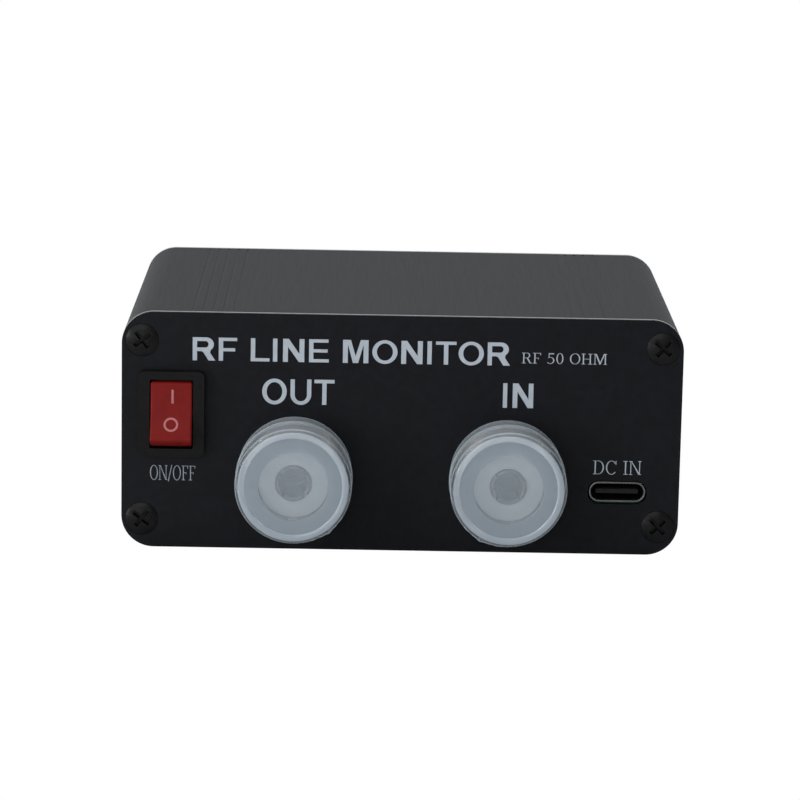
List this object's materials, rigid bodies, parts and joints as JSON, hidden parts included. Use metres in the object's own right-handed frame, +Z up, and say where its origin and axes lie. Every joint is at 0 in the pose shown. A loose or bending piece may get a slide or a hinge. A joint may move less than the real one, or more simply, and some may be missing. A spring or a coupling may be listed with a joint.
{
  "type": "swr meter",
  "caption": "Desktop SWR and power meter: split black aluminium case, two capped coaxial sockets, red rocker switch, charging port and a display window opposite.",
  "frame": {"origin": "centre of the case's flat underside, midway between the two end panels", "axes": "+X to the right when facing the connector panel, connector panel towards -Y, display panel towards +Y, +Z up"},
  "size_m": [0.088, 0.0731, 0.0378],
  "materials": {
    "shell_anodised": "black anodised extrusion, satin, fine draw lines along its length",
    "panel_anodised": "black anodised sheet, fine matt, bare bright cut edge, printed legends",
    "screw_black": "black oxide, countersunk cross head",
    "socket_nickel": "nickel plated, turned",
    "socket_insulator": "smooth off-white plastic",
    "contact_metal": "plated contact metal",
    "cap_plastic": "soft translucent milky polyethylene, moulded",
    "switch_black": "moulded black nylon, fine satin",
    "rocker_red": "moulded red, satin gloss, white marks",
    "plain_plastic": "natural nylon",
    "spring_steel": "bright drawn wire",
    "wire_red": "smooth insulated wire",
    "wire_yellow": "smooth insulated wire",
    "port_steel": "bright plated sheet",
    "port_black": "moulded black",
    "window_clear": "clear acrylic, polished",
    "gasket_black": "closed foam",
    "display_glass": "dark display glass, unlit",
    "board_blue": "blue solder mask",
    "board_green": "green solder mask",
    "chip_black": "moulded epoxy",
    "ferrite_grey": "sintered ferrite",
    "ceramic_tan": "ceramic chips",
    "enamel_copper": "enamelled copper wire",
    "diode_glass": "glass bodied diodes",
    "battery_foil": "matt foil pouch",
    "foam_white": "double-sided foam tape"
  },
  "bodies": {
    "case": {"top_shell": "shell_anodised", "bottom_shell": "shell_anodised", "connector_panel": "panel_anodised", "display_panel": "panel_anodised", "connector_panel_screws": "screw_black", "display_panel_screws": "screw_black", "ant_socket_shell": "socket_nickel", "ant_socket_insulator": "socket_insulator", "ant_socket_contact": "contact_metal", "tx_socket_shell": "socket_nickel", "tx_socket_insulator": "socket_insulator", "tx_socket_contact": "contact_metal", "switch_housing": "switch_black", "switch_terminals": "contact_metal", "switch_leads": "wire_red", "usb_shell": "port_steel", "usb_tongue": "port_black", "display_window": "window_clear", "display_gasket": "gasket_black", "oled_glass": "display_glass", "oled_board": "board_blue", "oled_header_block": "port_black", "oled_header_pins": "contact_metal", "main_board": "board_green", "mcu_chip": "chip_black", "charger_chip": "chip_black", "power_inductor": "ferrite_grey", "crystal_can": "port_steel", "board_capacitors": "ceramic_tan", "board_resistors": "chip_black", "coupler_board": "board_green", "current_core": "ferrite_grey", "current_winding": "enamel_copper", "voltage_core": "ferrite_grey", "voltage_winding": "enamel_copper", "rf_line": "wire_red", "detector_diodes": "diode_glass", "bridge_resistors": "chip_black", "sense_leads": "wire_yellow", "battery_cell": "battery_foil", "battery_tape": "foam_white", "battery_leads": "wire_red", "battery_socket": "plain_plastic", "battery_plug": "plain_plastic"},
    "ant_cap": {"ant_cap": "cap_plastic"},
    "tx_cap": {"tx_cap": "cap_plastic"},
    "rocker": {"switch_rocker": "rocker_red", "switch_plunger": "plain_plastic", "switch_spring": "spring_steel"},
    "contact_seesaw": {"switch_seesaw": "contact_metal"}
  },
  "joints": [
    {"name": "rocker_hinge", "type": "hinge", "parent": "case", "child": "rocker", "pos_m": [-0.0361, -0.0312, 0.02175], "axis": [1, 0, 0], "range_deg": [0, 25]},
    {"name": "seesaw_hinge", "type": "hinge", "parent": "case", "child": "contact_seesaw", "pos_m": [-0.0361, -0.0239, 0.02175], "axis": [1, 0, 0], "range_deg": [-16, 0]},
    {"name": "ant_cap_slide", "type": "slide", "parent": "case", "child": "ant_cap", "axis": [0, -1, 0], "range_m": [0, 0.03]},
    {"name": "tx_cap_slide", "type": "slide", "parent": "case", "child": "tx_cap", "axis": [0, -1, 0], "range_m": [0, 0.03]}
  ],
  "couplings": [
    {"joint": "seesaw_hinge", "follows": "rocker_hinge", "ratio": -0.64}
  ]
}
